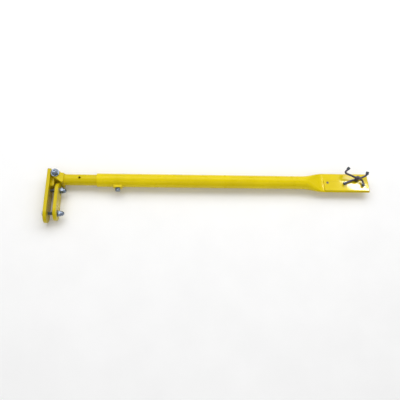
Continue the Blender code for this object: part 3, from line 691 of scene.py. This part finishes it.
fork_low, fork_high = span("fork_bracket")
washer_low, washer_high = span("pivot_washer")
nut_low, nut_high = span("pivot_nut")
bolt_low, bolt_high = span("pivot_bolt")
PIVOT = (0.0, (washer_low.y + washer_high.y) / 2)
WEB_X = (22.0, fork_high.x)
WEB_Y = (-20.0, 16.0)
LEG = 8.0
NOSE_R = PIVOT[0] - fork_low.x


def touch_angle(point, side):
    """Angle at which a line from the point touches the nose circle."""
    away = Vector(point) - Vector(PIVOT)
    return math.degrees(math.atan2(away.y, away.x) + side * math.acos(NOSE_R / away.length))


def build_fork():
    start = touch_angle((WEB_X[0], WEB_Y[1]), 1)
    end = touch_angle((WEB_X[0], WEB_Y[0]), -1) + 360
    outline = arc(PIVOT, NOSE_R, start, end, 32)
    outline += [(WEB_X[0], WEB_Y[0]), (WEB_X[1], WEB_Y[0]), (WEB_X[1], WEB_Y[1]), (WEB_X[0], WEB_Y[1])]
    legs = []
    for low, high in ((fork_high.z - LEG, fork_high.z), (fork_low.z, fork_low.z + LEG)):
        legs.append(plate(outline, [(*PIVOT, 7.4)], low, high, 0.9))
    web = [(WEB_Y[0], fork_low.z), (WEB_Y[1], fork_low.z), (WEB_Y[1], fork_high.z), (WEB_Y[0], fork_high.z)]
    swing = Matrix(((0, 0, 1, 0), (1, 0, 0, 0), (0, 1, 0, 0), (0, 0, 0, 1)))
    wall = plate(web, [], WEB_X[0], WEB_X[1], 0.9)
    bmesh.ops.transform(wall, matrix=swing, verts=wall.verts)
    return boolean(boolean(legs[0], wall, "UNION"), legs[1], "UNION")


finish_piece("fork_fine", build_fork(), SLIDER_SHADED_PAINT, "arm", ["fork_bracket"])
seam_r = SLIDER_R + 0.4
seam = [Vector((WEB_X[1] + 0.6, seam_r * math.cos(a), seam_r * math.sin(a)))
        for a in [2 * math.pi * k / 64 for k in range(64)]]
weld("fork_tube_weld", seam, 2.3, "arm", 21, loop=True, spacing=2.2, material=SLIDER_SHADED_PAINT)
for label, side in (("upper", 1), ("lower", -1)):
    inner = side * (fork_high.z - LEG - 0.3)
    route = [Vector((WEB_X[0] - 0.3, y, inner)) for y in (WEB_Y[0] + 3, WEB_Y[1] - 3)]
    weld(f"fork_corner_weld_{label}", route, 1.9, "arm", 23 + side, spacing=1.9, material=SLIDER_SHADED_PAINT)

pivot_washer = ring_body(7.4, PIVOT[0] - washer_low.x, washer_low.z, washer_high.z)
finish_piece("pivot_washer_fine", turn_to(pivot_washer, (0, 0, 1), (*PIVOT, 0)),
             ZINC, "arm", ["pivot_washer"])
PIVOT_AF = nut_high.y - nut_low.y


def build_lock_nut():
    """Hexagon with the rounded collar that holds its nylon ring."""
    top = nut_low.z + 9.5
    collar = [(PIVOT_AF / 2 - 1.0, top - 0.5)]
    collar += corner_arc((PIVOT_AF / 2 - 2.6, nut_high.z - 1.9), 1.8, 0, 120, 6)
    collar += [(8.2, nut_high.z - 0.9), (8.2, top - 0.5)]
    return combine(hexagon(PIVOT_AF, nut_low.z, top, 7.2), turned(collar, 64, hollow=True))


finish_piece("pivot_nut_fine", turn_to(build_lock_nut(), (0, 0, 1), (*PIVOT, 0)), ZINC, "arm",
             ["pivot_nut"], sharp=30)
insert = ring_body(7.05, 8.15, nut_high.z - 3.2, nut_high.z - 1.0, 0.2)
finish_piece("pivot_nut_insert", turn_to(insert, (0, 0, 1), (*PIVOT, 0)), BLUE_NYLON, "arm")
sink = bolt_low.z
bolt = combine(turned([(5.2, sink + 1.8), (5.6, sink), (12.0, sink), (12.4, sink + 0.6), (7.0, sink + 7.0),
                       (7.0, 19.0), (4.0, 19.2)], 64),
               boolean(threaded(7.0, 18.5, bolt_high.z, pitch=2.0, depth=0.7),
                       turned([(3.0, bolt_high.z - 4.0), (3.4, bolt_high.z - 0.6),
                               (5.0, bolt_high.z + 1.0)], 32)))
finish_piece("pivot_bolt_fine", turn_to(bolt, (0, 0, 1), (*PIVOT, 0)),
             ZINC, "arm", ["pivot_bolt"], sharp=30)


# ---------------------------------------------------------------- knuckle and jaws

knuckle_low, knuckle_high = span("knuckle")
fixed_low, fixed_high = span("fixed_jaw")
moving_low, moving_high = span("moving_jaw")
WEDGE_HALF = 12.0
WEDGE_TIP_X = -4.0
KNUCKLE_R = knuckle_high.x - PIVOT[0]


def build_knuckle():
    top = knuckle_high.z
    profile = [(9.9, -top + 0.4), (10.3, -top)]
    profile += corner_arc((KNUCKLE_R - 0.8, -top + 0.8), 0.8, -90, 0, 3)
    profile += corner_arc((KNUCKLE_R - 0.8, top - 0.8), 0.8, 0, 90, 3)
    profile += [(10.3, top), (9.9, top - 0.4)]
    barrel = turned(profile, 96, hollow=True)
    barrel = turn_to(barrel, (0, 0, 1), (*PIVOT, 0))
    wall = knuckle_low.x
    tip = 5.0
    end = knuckle_low.y
    outline = [(wall, PIVOT[1] + 10), (wall, end)]
    outline += arc((WEDGE_TIP_X - tip, end + tip), tip, -90, 0, 8)
    outline += [(WEDGE_TIP_X, PIVOT[1] - 18), (WEDGE_TIP_X + 8, PIVOT[1] - 6), (0, PIVOT[1] + 10)]
    wedge = plate(outline, [], -WEDGE_HALF, WEDGE_HALF, 1.0, 1.2)
    core = turn_to(turned([(10.0, -30), (10.0, 30)], 96), (0, 0, 1), (*PIVOT, 0))
    return boolean(boolean(barrel, wedge, "UNION"), core)


finish_piece("knuckle_fine", build_knuckle(), HEAD_SHADED_PAINT, "head", ["knuckle"], sharp=34)


def jaw_plate(outline, holes, face, thickness):
    """Plate from a (y, z) outline, set with one face at x = face."""
    swing = Matrix(((0, 0, 1, 0), (1, 0, 0, 0), (0, 1, 0, 0), (0, 0, 0, 1)))
    mesh_bm = plate(outline, holes, face, face + thickness, 1.1, 2.0)
    bmesh.ops.transform(mesh_bm, matrix=swing, verts=mesh_bm.verts)
    return mesh_bm


HALF = (fixed_high.z - fixed_low.z) / 2
THICK = fixed_high.x - fixed_low.x
GRIP_X = fixed_high.x
bolt_u_low, bolt_u_high = span("clamp_bolt_upper")
bolt_l_low, bolt_l_high = span("clamp_bolt_lower")
UPPER_Y = (bolt_u_low.y + bolt_u_high.y) / 2
LOWER_Y = (bolt_l_low.y + bolt_l_high.y) / 2
CLAMP_Y = (("upper", UPPER_Y), ("lower", LOWER_Y))

corner = 9.0
outline = arc((fixed_low.y + HALF, 0), HALF, 90, 270, 56)
outline += arc((fixed_high.y - corner, corner - HALF), corner, -90, 0, 8)
outline += arc((fixed_high.y - corner, HALF - corner), corner, 0, 90, 8)
holes = [(UPPER_Y, 0, 6.25), (LOWER_Y, 0, 6.25)]
finish_piece("jaw_fixed_fine", jaw_plate(outline, holes, fixed_low.x, THICK),
             HEAD_SHADED_PAINT, "head", ["fixed_jaw"], sharp=34)
outline = arc((moving_high.y - HALF, 0), HALF, -90, 90, 56)
outline += arc((moving_low.y + HALF, 0), HALF, 90, 270, 56)
holes = [(UPPER_Y, 0, 6.6), (LOWER_Y, 0, 6.6)]
finish_piece("jaw_moving_fine", jaw_plate(outline, holes, moving_low.x, THICK),
             HEAD_SHADED_PAINT, "jaw", ["moving_jaw"], sharp=34)
weld_x = GRIP_X + 0.4
for label, side in (("upper", 1), ("lower", -1)):
    z = side * (WEDGE_HALF + 0.2)
    weld(f"knuckle_weld_{label}", [Vector((weld_x, y, z)) for y in (knuckle_low.y + 1.0, PIVOT[1] + 9.0)],
         2.0, "head", 31 + side, spacing=1.9, material=HEAD_SHADED_PAINT)
weld("knuckle_weld_end", [Vector((weld_x, knuckle_low.y - 0.1, z)) for z in (-WEDGE_HALF, WEDGE_HALF)],
     1.8, "head", 35, spacing=1.9, material=HEAD_SHADED_PAINT)


# ---------------------------------------------------------------- clamp bolts and cap nuts

def build_cap_nut(low, high, across):
    """Domed cap nut: hexagon, short neck and a ball crown."""
    hexagon_top = low + 10.0
    ball = across / 2 * 0.93
    profile = [(ball * 0.97, hexagon_top - 0.8), (ball * 0.97, hexagon_top + 0.6)]
    profile += corner_arc((0.0, high - ball), ball, 8, 86, 16)
    bore = turned([(6.3, low - 2.0), (6.3, low + 15.4), (5.2, low + 16.4)], 48)
    return combine(hexagon(across, low, hexagon_top, 6.3), boolean(turned(profile, 72), bore))


for label, y in CLAMP_Y:
    low, high = span(f"clamp_bolt_{label}")
    spot = (0, y, 0)
    has_head = label == "lower"
    if has_head:
        head_top = fixed_low.x - 0.3
        across = high.y - low.y
        bolt = combine(hexagon(across, low.x, head_top), threaded(6.0, head_top - 0.5, high.x))
    else:
        bolt = threaded(6.0, low.x, high.x)
    finish_piece(f"clamp_bolt_{label}_fine", turn_to(bolt, (1, 0, 0), spot), ZINC, "head",
                 [f"clamp_bolt_{label}"], sharp=30)
    low, high = span(f"nut_washer_{label}")
    ring = ring_body(6.3, (high.z - low.z) / 2, low.x, high.x, 0.4)
    finish_piece(f"nut_washer_{label}_fine", turn_to(ring, (1, 0, 0), spot), ZINC, "jaw",
                 [f"nut_washer_{label}"])
    low, high = span(f"clamp_nut_{label}")
    nut = turn_to(build_cap_nut(low.x, high.x, high.y - low.y), (1, 0, 0), spot)
    finish_piece(f"cap_nut_{label}_fine", nut,
                 ZINC, f"nut_{label}", [f"clamp_nut_{label}"], sharp=30)


# ---------------------------------------------------------------- crossed hooks

ROD_R = 3.7
STUD_R = 3.0
SLEEVE_R = 6.0
EYE_R = 8.0
spacer_low, spacer_high = span("hook_spacer")
hook_nut_low, hook_nut_high = span("hook_nut")
EYE_HEIGHT = 8.0
EYE_LOW = {"hook_b": spacer_high.z + 0.3, "hook_a": spacer_high.z + 8.6}
LEVEL_B = EYE_LOW["hook_b"] + EYE_HEIGHT / 2
LEVEL_A = EYE_LOW["hook_a"] + EYE_HEIGHT / 2
ROUTES = {
    "hook_b": [(1090.0, -9.5, LEVEL_B), (1098.0, -6.0, LEVEL_B), (1118.0, 2.0, LEVEL_B), (*STUD, LEVEL_B),
               (1163.0, 16.5, LEVEL_B + 1), (1176.0, 20.5, LEVEL_B + 7), (1182.0, 24.5, LEVEL_B + 13),
               (1183.0, 31.0, LEVEL_B + 19)],
    "hook_a": [(1165.0, -17.0, LEVEL_B), (1166.5, -9.0, LEVEL_B), (1164.0, 0.5, LEVEL_B + 3),
               (1156.0, 6.0, LEVEL_A), (*STUD, LEVEL_A), (1132.0, 15.5, LEVEL_A), (1117.0, 22.0, LEVEL_A + 2),
               (1101.0, 27.0, LEVEL_A + 5), (1096.5, 33.0, LEVEL_A + 8), (1104.0, 41.0, LEVEL_A + 13),
               (1109.0, 46.0, LEVEL_A + 16)],
}


def build_hook(route, eye_low):
    path = smooth_path(route, 12)
    rod = swept(path, [ROD_R] * len(path), 28)
    eye = turned([(EYE_R - 1.0, eye_low)] + corner_arc((EYE_R - 1.0, eye_low + 1.0), 1.0, -90, 0, 4)[1:]
                 + corner_arc((EYE_R - 1.0, eye_low + EYE_HEIGHT - 1.0), 1.0, 0, 90, 4), 72)
    whole = boolean(rod, turn_to(eye, (0, 0, 1), (*STUD, 0)), "UNION")
    bore = turned([(STUD_R + 0.3, eye_low - 20), (STUD_R + 0.3, eye_low + 30)], 48)
    return boolean(whole, turn_to(bore, (0, 0, 1), (*STUD, 0)))


def build_tip(length, radius):
    """Dipped sleeve: soft rolled mouth, slight waist and rounded closed end."""
    profile = corner_arc((radius - 0.5, -length + 0.5), 0.5, -90, 0, 4)
    profile += [(radius - 0.15, -length + 2.0), (radius - 0.35, -length / 2), (radius - 0.1, -1.0)]
    profile += corner_arc((radius - 2.0, 0.3), 2.0, 0, 84, 7)
    return turned([(ROD_R * 0.5, -length)] + profile, 40)


for name, route in ROUTES.items():
    finish_piece(f"{name}_fine", build_hook(route, EYE_LOW[name]),
                 STEEL, name, [name], sharp=45)
    path = smooth_path(route, 4)
    for label, tip, inner in (("start", path[0], path[3]), ("end", path[-1], path[-4])):
        outward = (tip - inner).normalized()
        length = (tip - inner).length + 2.0
        finish_piece(f"{name}_tip_{label}", turn_to(build_tip(length, SLEEVE_R - 0.05), outward, tip),
                     SLEEVE, name, [f"{name}_sleeve_{label}"], sharp=45)

spacer = ring_body(STUD_R + 0.3, EYE_R, spacer_low.z, spacer_high.z, 0.6)
finish_piece("hook_spacer_fine", turn_to(spacer, (0, 0, 1), (*STUD, 0)), ZINC, "bar", ["hook_spacer"])
across = hook_nut_high.y - hook_nut_low.y
finish_piece("hook_nut_fine", turn_to(hexagon(across, hook_nut_low.z, hook_nut_high.z, STUD_R + 0.2),
                                      (0, 0, 1), (*STUD, 0)),
             STEEL, "bar", ["hook_nut"], sharp=30)
stud_head = (stud_high.x - stud_low.x) / 2
stud_foot = turned([(1.6, stud_low.z + 1.6), (2.0, stud_low.z), (stud_head - 0.3, stud_low.z),
                    (stud_head, stud_low.z + 0.3), (STUD_R, 0.2), (2.0, 0.4)], 64)
stud = combine(stud_foot, threaded(STUD_R, -0.5, stud_high.z, pitch=1.0, depth=0.35))
finish_piece("hook_stud_fine", turn_to(stud, (0, 0, 1), (*STUD, 0)),
             DULL_ZINC, "bar", ["hook_stud"], sharp=30)


# ---------------------------------------------------------------- pieces kept from the frame

KEPT_NODES = {"end_plug": NYLON, "guide_bush": NYLON, "pivot_bush": BRASS, "lock_pad": BRASS}
for node, material in KEPT_NODES.items():
    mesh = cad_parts[node].data
    mesh.materials.clear()
    mesh.materials.append(material)


# ---------------------------------------------------------------- floor, light and camera

def add_floor():
    bpy.ops.mesh.primitive_plane_add(size=30.0, location=(0, 0, 0))
    floor = bpy.context.object
    floor.name = "floor"
    s = Shader("pale_floor")
    grain = s.ramp(s.noise(6.0, 5.0), 0.3, 0.7)
    s.link(s.mix(grain, (0.90, 0.90, 0.90), (0.93, 0.93, 0.93)), s.surface.inputs["Base Color"])
    s.set(Roughness=0.7, Specular_IOR_Level=0.2)
    floor.data.materials.append(s.material)


def add_area(name, spot, aim, size, power, colour=(1.0, 1.0, 1.0)):
    light = bpy.data.lights.new(name, "AREA")
    light.shape = "RECTANGLE"
    light.size, light.size_y = size
    light.energy = power
    light.color = colour
    item = bpy.data.objects.new(name, light)
    item.location = spot
    item.rotation_euler = (Vector(aim) - Vector(spot)).to_track_quat("-Z", "Y").to_euler()
    bpy.context.scene.collection.objects.link(item)


def add_camera():
    """Stands over the near side of the bar, a little towards the head, and leans with the bar."""
    azimuth, elevation, roll = 12.77, 65.0, 12.11
    distance = 1.6851
    aim = BAR + Vector((529.2, -77.3, 0.0)) * MM
    flat = Vector((math.sin(math.radians(azimuth)), math.cos(math.radians(azimuth)), 0.0))
    forward = flat * math.cos(math.radians(elevation)) - Vector((0, 0, math.sin(math.radians(elevation))))
    right = Vector((flat.y, -flat.x, 0.0))
    up = right.cross(forward)
    turn = math.radians(roll)
    tilted = right * math.cos(turn) + up * math.sin(turn)
    upward = up * math.cos(turn) - right * math.sin(turn)
    data = bpy.data.cameras.new("camera")
    data.lens = 40.75
    data.sensor_width = 36.0
    camera = bpy.data.objects.new("camera", data)
    camera.matrix_world = Matrix.Translation(aim - forward * distance) @ Matrix((
        (tilted.x, upward.x, -forward.x, 0), (tilted.y, upward.y, -forward.y, 0),
        (tilted.z, upward.z, -forward.z, 0), (0, 0, 0, 1)))
    bpy.context.scene.collection.objects.link(camera)
    bpy.context.scene.camera = camera


def add_world():
    world = bpy.data.worlds.new("studio")
    world.use_nodes = True
    world.node_tree.nodes["Background"].inputs["Color"].default_value = (1.0, 1.0, 1.0, 1.0)
    world.node_tree.nodes["Background"].inputs["Strength"].default_value = 0.42
    bpy.context.scene.world = world
    bpy.context.scene.view_settings.view_transform = "Standard"


add_floor()
add_world()
add_area("key_softbox", (-0.3, 1.5, 2.5), (0, 0, 0), (3.6, 2.4), 68.0)
add_area("strip_softbox", (1.504, 0.937, 1.864), (0.55, 0, 0), (0.30, 0.085), 5.5)
add_area("fill_softbox", (0.1, -2.3, 2.9), (0, -0.6, 0), (4.0, 2.2), 25.0)
add_camera()
